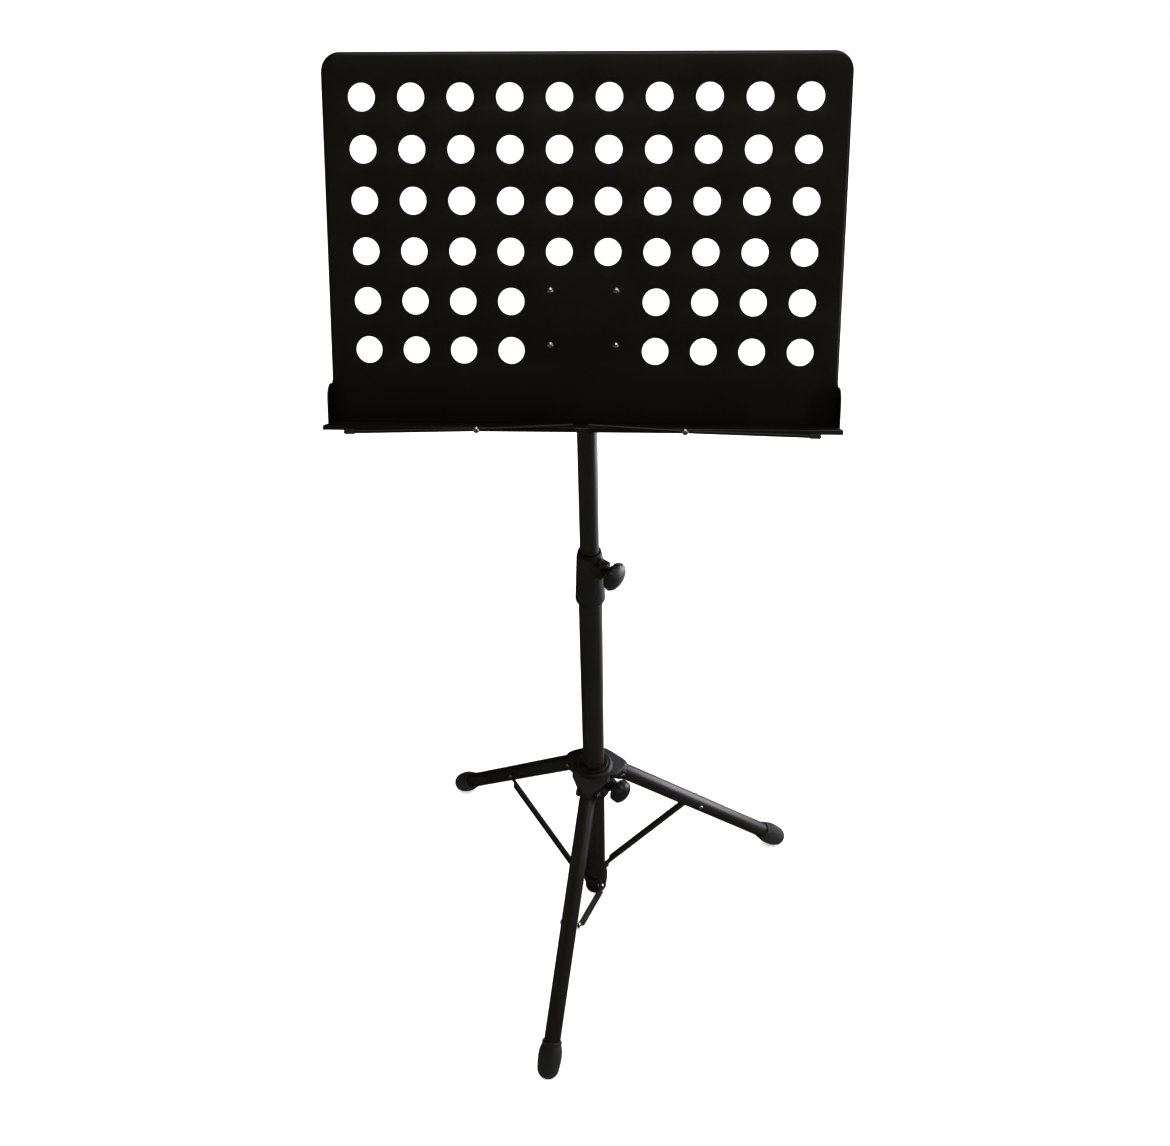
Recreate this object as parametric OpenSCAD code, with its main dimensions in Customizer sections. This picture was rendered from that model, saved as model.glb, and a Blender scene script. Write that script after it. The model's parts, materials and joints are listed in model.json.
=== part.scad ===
// Folding orchestra music stand: a perforated sheet-steel desk on a two-stage column with a tripod base.
// The origin is on the column's axis at the floor, +Z is up and the desk faces -Y.

/* [Desk] */
// Width of the desk
desk_w = 490; // [440:5:560]
// Height of the desk's face above the shelf
desk_h = 339.5; // [330:0.5:345]
// Thickness of the sheet steel
sheet = 1.2; // [0.8:0.1:1.6]
// Radius of the two top corners
corner_r = 18; // [10:1:30]
// Outer radius of the rolled side and top edges
roll_r = 4; // [2.5:0.5:6]
// Depth of the rolled edges behind the face
rim_depth = 8; // [6:1:14]
// Lean of the desk back from upright
desk_tilt = 28.6; // [5:0.1:80]
// Diameter of the round holes
hole_d = 25; // [18:1:28]
// Distance between the holes
hole_pitch = 46; // [40:0.5:48]

/* [Shelf] */
// Depth of the shelf in front of the face
shelf_depth = 41; // [30:1:60]
// Height of the lip turned down at the shelf's front
lip_h = 4.8; // [4:0.1:8]
// Depth of the upright plate at each end of the shelf
wing_depth = 21; // [15:1:30]
// Height of the upright end plates
wing_h = 37.5; // [25:0.5:45]

/* [Page arms] */
// Distance of each arm's pivot from the middle
arm_pivot_x = 98; // [80:1:120]
// Distance of each arm's outer tip from the middle
arm_tip_x = 222; // [180:1:235]
// Thickness of the arm's wire
wire_d = 3.5; // [3:0.1:4]

/* [Column] */
// Outside diameter of the lower tube
lower_d = 28.6; // [26:0.1:30]
// Outside diameter of the upper tube
upper_d = 22.2; // [20:0.1:22.6]
// Height of the top of the lower tube
lower_top = 640; // [600:5:700]
// Height of the desk's tilt pivot
tilt_z = 962; // [940:1:1000]
// Height of the underside of the clamp collar
collar_z = 588; // [560:1:600]

/* [Tripod] */
// Direction of the front leg, in degrees from +X
first_leg = -100.4; // [-120:0.1:-60]
// Height of the leg pivots
pivot_z = 269.5; // [262:0.1:275]
// Distance of the leg pivots from the column's axis
pivot_r = 34.5; // [34.5:0.5:38]
// Outside diameter of the leg tubes
leg_d = 22.2; // [20:0.1:22.4]
// Distance from a leg's pivot to the middle of its rounded foot
leg_len = 362; // [356:1:366]
// Height of the middle of the rounded foot
foot_z = 13.9; // [13:0.1:14.5]
// Radius of the rounded foot
foot_r = 14.6; // [14.5:0.1:15]
// Position of the strut's rivet along the leg
rivet_at = 172.5; // [160:0.5:185]

/* [Hidden] */
$fn = 64;
play = 0.06;          // radial running clearance of a pin or a tube in its bore
gap = 0.3;            // side clearance between pieces that move past each other
knob_az = first_leg + 60;   // the clamp knobs point halfway between the front and the right leg
paint = "#17171a";
plastic = "#222226";
rubber = "#1c1c1c";
zinc = "#c9c9c4";
nylon = "#101012";

// Desk, in its own frame: X across, Y behind the face, Z up the face from the lowest row of holes.
half_w = desk_w / 2;
bend_v = -69.5;
top_v = bend_v + desk_h;
wing_top = bend_v + wing_h;
wing_round = 14;
panel_gap = 0.2;      // the shelf's bend drops away under the face's lower edge
hole_columns = 10;
hole_rows = 6;
bare_rows = 2;
reach = 32;           // from the face back to the tilt pivot
tilt_v = 30.5;
ear_in = 13.8;        // half the space between the bracket's ears
ear_t = 2.5;
bracket_t = 2.5;
screw_x = 31.5;
screw_v = [5, 56];
arm_pivot_v = -72.1;
arm_y = -shelf_depth - 2.5;
arm_drop = 3.3;       // how far the outer tip lies below the pivot
arm_rise = 5;         // how far the inner end lies above the pivot
arm_inner_x = 6;
eye_half = 2.1;        // half the thickness of an arm's eye
bolt_r = 4;

// Column
lower_r = lower_d / 2;
lower_in = lower_r - 1.5;
upper_r = upper_d / 2;
upper_in = upper_r - 1.1;
column_foot = 14;
upper_foot = 330;
head_r = 14;
head_w = 27;
collar_r = 17.9;
collar_neck_r = 15.3;
collar_top = collar_z + 75.5;
collar_knob_z = 648;
collar_bush_r = 13.2;
m6_r = 3;

// Tripod
hub_foot = 238;
hub_top = 294;
hub_bush_r = 16.6;
hub_knob_z = 273.5;
cheek_out = 13.8;      // the flats under the pivot bolts' heads
hood_end = 5.5;        // how far a hood runs past its pivot
tube_from = 7;         // where a leg's tube begins below its pivot
slot_w = leg_d + 0.8;
slot_r = leg_d / 2 + 1;
leg_drop = asin((pivot_z - foot_z) / leg_len);
strut_r = 19;
strut_z = 40;
strut_end = [pivot_r + rivet_at * cos(leg_drop), pivot_z - rivet_at * sin(leg_drop)];
strut_run = strut_end - [strut_r, strut_z];
strut_len = norm(strut_run);
strut_rise = atan2(strut_run[1], strut_run[0]);
strut_y = leg_d / 2 + 1;
strut_t = 1.8;
strut_w = 9;
pin_r = 2.5;

// ---------------------------------------------------------------- placing
module on_desk() {
    translate([0, 0, tilt_z]) rotate([-desk_tilt, 0, 0]) translate([0, -reach, -tilt_v]) children();
}
module leg_side(k) {
    rotate([0, 0, first_leg + 120 * k]) children();
}
module along_leg(k) {
    leg_side(k) translate([pivot_r, 0, pivot_z]) rotate([0, leg_drop, 0]) children();
}
module along_strut(k) {
    leg_side(k) translate([strut_r, 0, strut_z]) rotate([0, -strut_rise, 0]) children();
}
module toward_knob(z) {
    translate([0, 0, z]) rotate([0, 0, knob_az]) rotate([0, 90, 0]) children();
}

// ---------------------------------------------------------------- shared shapes
module rod_y(r, from, to) {
    translate([0, from, 0]) rotate([-90, 0, 0]) cylinder(r = r, h = to - from);
}
module rod_x(r, from, to) {
    translate([from, 0, 0]) rotate([0, 90, 0]) cylinder(r = r, h = to - from);
}
// A low domed head: its flat side is on z = 0.
module dome(r, h) {
    ball = (r * r + h * h) / (2 * h);
    intersection() {
        translate([0, 0, h - ball]) sphere(r = ball);
        cylinder(r = r, h = h);
    }
}
module cross_head(r, h) {
    difference() {
        dome(r, h);
        for (a = [0, 90]) rotate([0, 0, a]) translate([-r * 0.55, -0.4, h * 0.45]) cube([r * 1.1, 0.8, h]);
    }
}
module rounded_plate(x0, x1, z0, z1, r, t) {
    translate([0, t, 0]) rotate([90, 0, 0]) linear_extrude(t) {
        translate([x0 + r, z0]) square([x1 - x0 - 2 * r, z1 - z0]);
        translate([x0, z0 + r]) square([x1 - x0, z1 - z0 - 2 * r]);
        for (x = [x0 + r, x1 - r], z = [z0 + r, z1 - r]) translate([x, z]) circle(r = r);
    }
}
// Mushroom knob along +Z from z = 0, with a domed top and a scalloped grip, and a blind bore for its screw.
module mushroom(stem_r, grip_r, h, rim_z, crown, bore_r, bore_h) {
    ball = (grip_r * grip_r + crown * crown) / (2 * crown);
    difference() {
        rotate_extrude() {
            square([stem_r, rim_z + 1]);
            difference() {
                intersection() {
                    translate([0, rim_z]) square([grip_r, h - rim_z]);
                    translate([0, h - ball]) circle(r = ball, $fn = 256);
                }
                translate([grip_r - 2, rim_z + 2]) difference() {
                    translate([0, -3]) square([3, 3]);
                    circle(r = 2);
                }
            }
            polygon([[0, rim_z * 0.4], [stem_r, rim_z * 0.4], [grip_r - 2, rim_z], [grip_r - 2, rim_z + 1],
                [0, rim_z + 1]]);
        }
        for (a = [0 : 30 : 330]) rotate([0, 0, a]) translate([grip_r + 2.2, 0, -1]) cylinder(r = 3, h = h + 2);
        translate([0, 0, -1]) cylinder(r = bore_r, h = bore_h + 1);
    }
}

// ---------------------------------------------------------------- desk
module face_outline() {
    edge_x = half_w - roll_r;
    translate([-edge_x, bend_v]) square([2 * edge_x, desk_h - corner_r]);
    translate([-(half_w - corner_r), bend_v]) square([desk_w - 2 * corner_r, desk_h - roll_r]);
    for (s = [-1, 1]) translate([s * (half_w - corner_r), top_v - corner_r]) circle(r = corner_r - roll_r);
    translate([-half_w, bend_v]) square([desk_w, wing_h]);
}
// Section of the rolled edge: X runs outwards from the flat face, Y runs behind the face.
module edge_section() {
    intersection() {
        translate([0, roll_r]) difference() {
            circle(r = roll_r);
            circle(r = roll_r - sheet);
        }
        square([roll_r, roll_r]);
    }
    translate([roll_r - sheet, roll_r]) square([sheet, rim_depth - roll_r]);
}
module rolled_edge() {
    for (s = [0, 1]) mirror([s, 0, 0]) {
        translate([half_w - roll_r, 0, wing_top]) linear_extrude(top_v - corner_r - wing_top) edge_section();
        translate([half_w - corner_r, 0, top_v - corner_r]) rotate([-90, 0, 0]) intersection() {
            rotate_extrude() translate([corner_r - roll_r, 0]) edge_section();
            translate([0, -2 * corner_r, -1]) cube([2 * corner_r, 2 * corner_r, rim_depth + 2]);
        }
    }
    translate([half_w - corner_r, 0, top_v - roll_r]) rotate([0, -90, 0])
        linear_extrude(desk_w - 2 * corner_r) edge_section();
}
module through_desk(r) {
    translate([0, -1, 0]) rotate([-90, 0, 0]) cylinder(r = r, h = 20);
}
module screw_places() {
    for (x = [-screw_x, screw_x], v = screw_v) translate([x, 0, v]) children();
}
module desk_panel() {
    color(paint) on_desk() difference() {
        union() {
            translate([0, sheet, 0]) rotate([90, 0, 0]) linear_extrude(sheet) face_outline();
            rolled_edge();
        }
        for (row = [0 : hole_rows - 1], column = [0 : hole_columns - 1]) {
            x = (column - (hole_columns - 1) / 2) * hole_pitch;
            if (row >= bare_rows || abs(x) > hole_pitch) translate([x, 0, row * hole_pitch]) through_desk(hole_d / 2);
        }
        screw_places() through_desk(2.1);
    }
}
module wing_outline() {
    translate([0, bend_v]) square([wing_depth, wing_h - wing_round]);
    translate([0, bend_v]) square([wing_depth - wing_round, wing_h]);
    translate([wing_depth - wing_round, wing_top - wing_round]) intersection() {
        circle(r = wing_round);
        square([wing_round, wing_round]);
    }
}
module shelf_tray() {
    color(paint) on_desk() difference() {
        union() {
            difference() {
                translate([-half_w, -shelf_depth, bend_v - sheet]) cube([desk_w, shelf_depth + 2 * sheet, sheet]);
                translate([-half_w - 1, 0, bend_v - panel_gap]) cube([desk_w + 2, sheet, 1]);
            }
            translate([-half_w, -shelf_depth, bend_v - lip_h]) cube([desk_w, sheet, lip_h]);
            translate([-half_w + 9, sheet, bend_v - sheet]) cube([desk_w - 18, sheet, 24]);
            for (s = [0, 1]) mirror([s, 0, 0]) translate([half_w, 0, 0]) rotate([90, 0, -90])
                linear_extrude(sheet) wing_outline();
        }
        for (x = [-arm_pivot_x, arm_pivot_x]) translate([x, 0, arm_pivot_v]) rod_y(1.5, -shelf_depth - 1, -30);
    }
}
module bracket_ear() {
    rotate([90, 0, 90]) linear_extrude(ear_t) difference() {
        union() {
            translate([sheet + 1, tilt_v - 14]) square([reach - sheet - 1, 28]);
            translate([reach, tilt_v]) circle(r = 14);
        }
        translate([reach, tilt_v]) circle(r = bolt_r + play);
    }
}
module tilt_bracket() {
    color(paint) on_desk() difference() {
        union() {
            translate([0, sheet, 0]) rounded_plate(-40, 40, -5, 66, 6, bracket_t);
            translate([ear_in, 0, 0]) bracket_ear();
            translate([-ear_in - ear_t, 0, 0]) bracket_ear();
        }
        screw_places() through_desk(2.1);
    }
}
module desk_screws() {
    color(zinc) on_desk() screw_places() {
        rotate([90, 0, 0]) cross_head(3.2, 1.8);
        rod_y(2, 0, 9);
    }
}
module desk_nuts() {
    color(zinc) on_desk() screw_places() translate([0, sheet + bracket_t, 0]) rotate([-90, 0, 0]) difference() {
        cylinder(r = 4, h = 3.2, $fn = 6);
        translate([0, 0, -1]) cylinder(r = 2, h = 6);
    }
}
module arm_places() {
    for (x = [-arm_pivot_x, arm_pivot_x]) translate([x, 0, arm_pivot_v]) children();
}
module arm_screws() {
    color(zinc) on_desk() arm_places() {
        translate([0, arm_y - eye_half - gap, 0]) rotate([90, 0, 0]) cross_head(2.9, 1.7);
        rod_y(1.5, arm_y - eye_half - gap, -shelf_depth + sheet + 3.4);
    }
}
module arm_nuts() {
    color(zinc) on_desk() arm_places() translate([0, -shelf_depth + sheet, 0]) rotate([-90, 0, 0]) difference() {
        intersection() {
            cylinder(r = 2.9, h = 2.4, $fn = 6);
            translate([-4, -1.35, 0]) cube([8, 4.3, 3]);
        }
        translate([0, 0, -1]) cylinder(r = 1.5, h = 5);
    }
}
// The left arm with its pivot at the origin: the wire's outer leg runs to -X, its tail to +X.
arm_out = [-(arm_tip_x - arm_pivot_x), -arm_drop];
arm_in = [arm_pivot_x - arm_inner_x, arm_rise];
// A wire with a rounded end, from inside the pivot's eye to a point on the arm.
module wire_to(end) {
    wire_r = wire_d / 2;
    from = 2.2;
    to = norm(end);
    rotate([0, -atan2(end[1], end[0]), 0]) rotate([0, 90, 0]) rotate_extrude() {
        translate([0, from]) square([wire_r, to - wire_r - from]);
        translate([0, to - wire_r]) intersection() {
            circle(r = wire_r);
            square([wire_r, wire_r]);
        }
    }
}
module page_arm(s) {
    on_desk() mirror([s, 0, 0]) translate([-arm_pivot_x, arm_y, arm_pivot_v]) difference() {
        union() {
            wire_to(arm_out);
            wire_to(arm_in);
            rod_y(3.2, -eye_half, eye_half);
        }
        rod_y(1.5 + play, -5, 5);
    }
}
module arm_cap(s) {
    on_desk() mirror([s, 0, 0]) translate([-arm_pivot_x, arm_y, arm_pivot_v])
        rotate([0, -atan2(arm_out[1], arm_out[0]), 0]) translate([norm(arm_out), 0, 0]) difference() {
            rotate([0, 90, 0]) rotate_extrude() {
                translate([0, -8]) square([2.6, 8]);
                intersection() {
                    circle(r = 2.6);
                    square([2.6, 2.6]);
                }
            }
            rotate([0, 90, 0]) rotate_extrude() {
                translate([0, -9]) square([wire_d / 2, 9 - wire_d / 2]);
                translate([0, -wire_d / 2]) intersection() {
                    circle(r = wire_d / 2);
                    square([wire_d / 2, wire_d / 2]);
                }
            }
        }
}

// ---------------------------------------------------------------- mast and tilt joint
module upper_tube() {
    color(paint) translate([0, 0, upper_foot]) difference() {
        cylinder(r = upper_r, h = 932 - upper_foot);
        translate([0, 0, -1]) cylinder(r = upper_in, h = 700);
    }
}
module tilt_head() {
    color(plastic) difference() {
        union() {
            translate([0, 0, 900]) cylinder(r = head_r, h = 42);
            translate([-head_w / 2, 0, 0]) rotate([90, 0, 90]) linear_extrude(head_w) {
                translate([-12, 938]) square([24, tilt_z - 938]);
                translate([0, tilt_z]) circle(r = head_r);
            }
        }
        translate([0, 0, 899]) cylinder(r = upper_r, h = 33);
        translate([0, 0, tilt_z]) rod_x(bolt_r, -30, 30);
    }
}
washer_in = ear_in + ear_t + gap;
washer_t = 1.5;
module tilt_bolt() {
    color(zinc) translate([0, 0, tilt_z]) {
        rod_x(bolt_r, -washer_in - washer_t, 38);
        translate([-washer_in - washer_t - 5, 0, 0]) rotate([0, 90, 0]) cylinder(r = 7.5, h = 5, $fn = 6);
    }
}
module tilt_washers() {
    color(nylon) translate([0, 0, tilt_z]) for (s = [0, 1]) mirror([s, 0, 0]) difference() {
        rod_x(9, washer_in, washer_in + washer_t);
        rod_x(bolt_r, 0, 40);
    }
}
module tilt_knob() {
    color(plastic) translate([washer_in + washer_t + gap, 0, tilt_z]) rotate([0, 90, 0])
        mushroom(9, 17, 24, 10, 4, bolt_r + play, 20);
}
module glide_bush() {
    color(nylon) translate([0, 0, upper_foot - 8]) difference() {
        cylinder(r = lower_in - 0.05, h = 38);
        translate([0, 0, 8 - gap]) cylinder(r = upper_r + 0.05, h = 40);
        translate([0, 0, -1]) cylinder(r = 6, h = 20);
    }
}

// ---------------------------------------------------------------- column
module lower_tube() {
    color(paint) translate([0, 0, column_foot]) difference() {
        cylinder(r = lower_r, h = lower_top - column_foot);
        translate([0, 0, -1]) cylinder(r = lower_in, h = 700);
    }
}
module base_cap() {
    cap_r = lower_r + 1.2;
    color(nylon) translate([0, 0, column_foot - 3]) rotate_extrude() difference() {
        union() {
            square([cap_r - 5, 16]);
            translate([0, 5]) square([cap_r, 11]);
            translate([cap_r - 5, 5]) circle(r = 5);
        }
        translate([lower_in, 3]) square([lower_r - lower_in, 20]);
        translate([-1, 6]) square([lower_in - 2, 20]);
        translate([lower_in - 0.01, 14]) square([1.6, 9]);
        translate([-20, -1]) square([20, 30]);
    }
}
module base_collar() {
    color(paint) difference() {
        union() {
            translate([0, 0, strut_z - 8]) cylinder(r = lower_r + 3, h = 16);
            for (k = [0 : 2]) leg_side(k) translate([0, strut_y - gap, strut_z]) rotate([90, 0, 0]) linear_extrude(2.2) {
                translate([6, -6]) square([strut_r - 6, 12]);
                translate([strut_r, 0]) intersection() {
                    circle(r = 6);
                    translate([-7, -7]) square([12, 14]);
                }
            }
        }
        translate([0, 0, strut_z - 20]) cylinder(r = lower_r, h = 40);
        for (k = [0 : 2]) leg_side(k) translate([strut_r, 0, strut_z]) rod_y(pin_r, 5, 20);
    }
}
module strut_pivot_rivets() {
    color(zinc) for (k = [0 : 2]) leg_side(k) translate([strut_r, 0, strut_z]) {
        rod_y(pin_r, strut_y - gap - 2.2, strut_y + strut_t + gap);
        translate([0, strut_y + strut_t + gap, 0]) rotate([-90, 0, 0]) dome(4.2, 1.9);
        translate([0, strut_y - gap - 2.2, 0]) rotate([90, 0, 0]) cylinder(r = 3.4, h = 1.4);
    }
}
module clamp_collar() {
    color(plastic) difference() {
        union() {
            rotate_extrude() polygon([[0, collar_z], [lower_r + 0.9, collar_z], [collar_r, collar_z + 5],
                [collar_neck_r, collar_top - 6], [collar_neck_r - 1, collar_top - 1], [0, collar_top - 1]]);
            toward_knob(collar_knob_z) translate([-8.5, -8.5, 0]) cube([17, 17, 25]);
            toward_knob(collar_knob_z) cylinder(r = 7, h = 28);
            toward_knob(collar_top - 6) translate([0, 0, 8]) cylinder(r = 4.5, h = 10.5);
        }
        translate([0, 0, collar_z - 1]) cylinder(r = lower_r, h = lower_top - collar_z + 1);
        translate([0, 0, collar_z]) cylinder(r = collar_bush_r, h = 90);
        toward_knob(collar_knob_z) cylinder(r = m6_r + play, h = 40);
    }
}
module collar_bush() {
    color(nylon) difference() {
        union() {
            translate([0, 0, lower_top + 0.5]) cylinder(r = collar_bush_r, h = collar_top - lower_top - 1);
            translate([0, 0, collar_top - 1]) cylinder(r = 13.8, h = 3);
        }
        translate([0, 0, lower_top]) cylinder(r = upper_r + play, h = 60);
    }
}
module clamp_screw(z, tip, end) {
    color(zinc) toward_knob(z) translate([0, 0, tip]) cylinder(r = m6_r, h = end - tip);
}
module collar_knob_screw() {
    clamp_screw(collar_knob_z, collar_bush_r + gap, 41);
}
module collar_knob() {
    color(plastic) toward_knob(collar_knob_z) translate([0, 0, 28 + gap]) mushroom(6.5, 17.5, 18, 7, 5, m6_r, 41 - 28 - gap);
}

// ---------------------------------------------------------------- leg hub
// The lobes are hoods round the legs' top ends: a taper along the leg, kept inside this side view.
module hood_outline() {
    polygon([[10, hub_foot + 6], [10, hub_top - 3], [20, hub_top - 4], [27, hub_top - 6],
        [36, hub_top - 10], [60, hub_top - 19], [60, 200], [22, hub_foot + 8]]);
}
module hood_taper() {
    rotate([0, 90, 0]) rotate_extrude() polygon([[0, -60], [25, -60], [25, -20], [20, -12], [16.3, -6],
        [15.2, -1], [14.5, hood_end - 0.8], [13.7, hood_end], [0, hood_end]]);
}
// The space in which the leg's top end turns, from its open to its folded direction.
module leg_slot() {
    translate([pivot_r, pivot_z]) {
        circle(r = slot_r);
        rotate(-leg_drop) translate([0, -slot_r]) square([90, 2 * slot_r]);
        rotate(-90) translate([0, -slot_r]) square([90, 2 * slot_r]);
        polygon([[0, 0], [90 * cos(leg_drop), -90 * sin(leg_drop)], [90, -90], [0, -90]]);
    }
}
module leg_hub() {
    color(plastic) difference() {
        union() {
            rotate_extrude() polygon([[0, hub_foot], [20.5, hub_foot], [21.5, hub_foot + 1], [22, hub_top - 28],
                [25, hub_top - 21], [25, hub_top - 2.5], [22.5, hub_top], [0, hub_top]]);
            for (k = [0 : 2]) intersection() {
                leg_side(k) rotate([90, 0, 0]) translate([0, 0, -26]) linear_extrude(52) hood_outline();
                along_leg(k) hood_taper();
            }
            toward_knob(hub_knob_z) cylinder(r = 9, h = 35);
        }
        for (k = [0 : 2]) leg_side(k) {
            rotate([90, 0, 0]) translate([0, 0, -slot_w / 2]) linear_extrude(slot_w) leg_slot();
            translate([pivot_r, 0, pivot_z]) {
                rod_y(m6_r, -20, 20);
                for (side = [0, 1]) mirror([0, side, 0]) rod_y(6.2, cheek_out, 30);
            }
        }
        translate([0, 0, hub_foot - 1]) cylinder(r = hub_bush_r, h = 80);
        toward_knob(hub_knob_z) cylinder(r = m6_r + play, h = 40);
    }
}
module hub_bush() {
    color(nylon) difference() {
        union() {
            translate([0, 0, hub_foot + 2]) cylinder(r = hub_bush_r - play, h = hub_top - hub_foot - 2);
            translate([0, 0, hub_top]) cylinder(r = 19.5, h = 3);
        }
        translate([0, 0, hub_foot]) cylinder(r = lower_r + play, h = 80);
    }
}
module leg_pivot_bolts() {
    color(zinc) for (k = [0 : 2]) leg_side(k) translate([pivot_r, 0, pivot_z]) {
        rod_y(m6_r, -cheek_out - 3, cheek_out);
        translate([0, cheek_out, 0]) rotate([-90, 0, 0]) dome(5.2, 2.6);
    }
}
module leg_pivot_nuts() {
    color(zinc) for (k = [0 : 2]) leg_side(k) translate([pivot_r, 0, pivot_z]) difference() {
        translate([0, -cheek_out, 0]) rotate([90, 0, 0]) cylinder(r = 5.4, h = 2.4, $fn = 6);
        rod_y(m6_r, -30, 0);
    }
}
module hub_knob_screw() {
    clamp_screw(hub_knob_z, hub_bush_r + gap, 50);
}
module hub_knob() {
    color(plastic) toward_knob(hub_knob_z) translate([0, 0, 35 + gap]) mushroom(6.5, 16, 24, 7, 6, m6_r, 50 - 35 - gap);
}

// ---------------------------------------------------------------- legs and struts
module leg_tube(k) {
    color(paint) along_leg(k) difference() {
        rod_x(leg_d / 2, tube_from, leg_len - 4);
        rod_x(leg_d / 2 - 1.2, 0, leg_len);
        translate([rivet_at, 0, 0]) rod_y(pin_r, -20, 20);
    }
}
module leg_fitting(k) {
    body_r = leg_d / 2 - 0.1;
    color(plastic) along_leg(k) difference() {
        union() {
            intersection() {
                rod_x(body_r, -20, tube_from);
                union() {
                    rod_y(body_r + 0.2, -20, 20);
                    translate([0, -20, -20]) cube([tube_from, 40, 40]);
                }
            }
            rod_x(leg_d / 2 - 1.2, tube_from - 1, 36);
        }
        rod_y(m6_r + play, -20, 20);
    }
}
module foot(k) {
    boot = leg_len - 36;
    color(rubber) difference() {
        along_leg(k) rotate([0, 90, 0]) difference() {
            rotate_extrude() {
                polygon([[0, boot], [12.6, boot], [13.2, boot + 0.8], [13.2, boot + 5], [13.8, boot + 7],
                    [15.4, boot + 14], [15.8, boot + 19], [15.7, boot + 25], [15.2, boot + 31],
                    [foot_r, leg_len], [0, leg_len]]);
                translate([0, leg_len]) intersection() {
                    circle(r = foot_r);
                    square([foot_r, foot_r]);
                }
            }
            translate([0, 0, boot - 1]) cylinder(r = leg_d / 2, h = 33);
        }
        translate([-500, -500, -50]) cube([1000, 1000, 50]);
    }
}
module leg_rivet(k) {
    half = leg_d / 2;
    color(zinc) along_leg(k) translate([rivet_at, 0, 0]) {
        rod_y(pin_r, -half, half);
        difference() {
            translate([0, -half + 0.8, 0]) rotate([90, 0, 0]) dome(4, 2.5);
            rod_x(half, -10, 10);
        }
    }
}
module strut(k) {
    half = strut_w / 2;
    flange_from = 14;
    color(paint) along_strut(k) difference() {
        union() {
            translate([0, strut_y + strut_t, 0]) rotate([90, 0, 0]) linear_extrude(strut_t) {
                translate([0, -half]) square([strut_len, strut_w]);
                for (x = [0, strut_len]) translate([x, 0]) circle(r = 5);
            }
            for (s = [0, 1]) mirror([0, 0, s]) translate([flange_from, strut_y, half - 1.5])
                cube([strut_len - 2 * flange_from, strut_t + 4.5, 1.5]);
        }
        rod_y(pin_r + play, 5, 30);
        translate([strut_len, 0, 0]) rod_y(pin_r, 5, 30);
    }
}
module strut_rivet(k) {
    color(zinc) along_strut(k) translate([strut_len, 0, 0]) {
        rod_y(pin_r, strut_y - 0.7, strut_y + strut_t);
        translate([0, strut_y + strut_t, 0]) rotate([-90, 0, 0]) dome(4.2, 1.9);
    }
}

desk_panel();
shelf_tray();
tilt_bracket();
desk_screws();
desk_nuts();
arm_screws();
arm_nuts();
color(paint) page_arm(0);  // page_arm_left
color(rubber) arm_cap(0);  // arm_cap_left
color(paint) page_arm(1);  // page_arm_right
color(rubber) arm_cap(1);  // arm_cap_right
upper_tube();
tilt_head();
tilt_bolt();
tilt_washers();
tilt_knob();
glide_bush();
lower_tube();
base_cap();
base_collar();
strut_pivot_rivets();
clamp_collar();
collar_bush();
collar_knob();
collar_knob_screw();
leg_hub();
hub_bush();
leg_pivot_bolts();
leg_pivot_nuts();
hub_knob();
hub_knob_screw();
leg_tube(0);  // leg_tube_front
leg_fitting(0);  // leg_fitting_front
foot(0);  // foot_front
leg_rivet(0);  // leg_rivet_front
strut(0);  // strut_front
strut_rivet(0);  // strut_rivet_front
leg_tube(1);  // leg_tube_right
leg_fitting(1);  // leg_fitting_right
foot(1);  // foot_right
leg_rivet(1);  // leg_rivet_right
strut(1);  // strut_right
strut_rivet(1);  // strut_rivet_right
leg_tube(2);  // leg_tube_left
leg_fitting(2);  // leg_fitting_left
foot(2);  // foot_left
leg_rivet(2);  // leg_rivet_left
strut(2);  // strut_left
strut_rivet(2);  // strut_rivet_left
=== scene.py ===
"""Looks of the folding orchestra music stand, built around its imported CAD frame. Everything is in metres."""
import json
import math

import bmesh
import bpy
from mathutils import Matrix, Vector


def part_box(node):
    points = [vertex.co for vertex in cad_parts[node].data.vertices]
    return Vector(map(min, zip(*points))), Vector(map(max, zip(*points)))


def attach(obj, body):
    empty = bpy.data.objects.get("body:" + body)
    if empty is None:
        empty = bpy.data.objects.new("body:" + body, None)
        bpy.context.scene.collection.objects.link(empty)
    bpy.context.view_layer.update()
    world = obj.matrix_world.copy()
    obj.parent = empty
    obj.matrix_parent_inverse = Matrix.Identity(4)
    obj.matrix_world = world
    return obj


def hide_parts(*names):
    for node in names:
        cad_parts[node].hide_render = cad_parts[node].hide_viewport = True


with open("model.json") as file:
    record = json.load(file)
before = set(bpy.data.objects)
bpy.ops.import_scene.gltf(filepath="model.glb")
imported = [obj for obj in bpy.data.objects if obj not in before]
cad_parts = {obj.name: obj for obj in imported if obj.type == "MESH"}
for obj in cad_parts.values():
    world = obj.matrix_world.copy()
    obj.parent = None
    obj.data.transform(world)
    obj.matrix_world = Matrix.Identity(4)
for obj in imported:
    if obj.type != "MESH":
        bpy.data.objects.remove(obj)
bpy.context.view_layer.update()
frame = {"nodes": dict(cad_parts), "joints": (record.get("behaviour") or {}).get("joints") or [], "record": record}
MM = 0.001
TAU = 2 * math.pi
UP = Vector((0, 0, 1))
mounts = {m["name"]: m for m in frame["record"]["mounts"]}
joints = {j["name"]: j for j in frame["joints"]}
LEGS = ("front", "right", "left")

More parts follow.
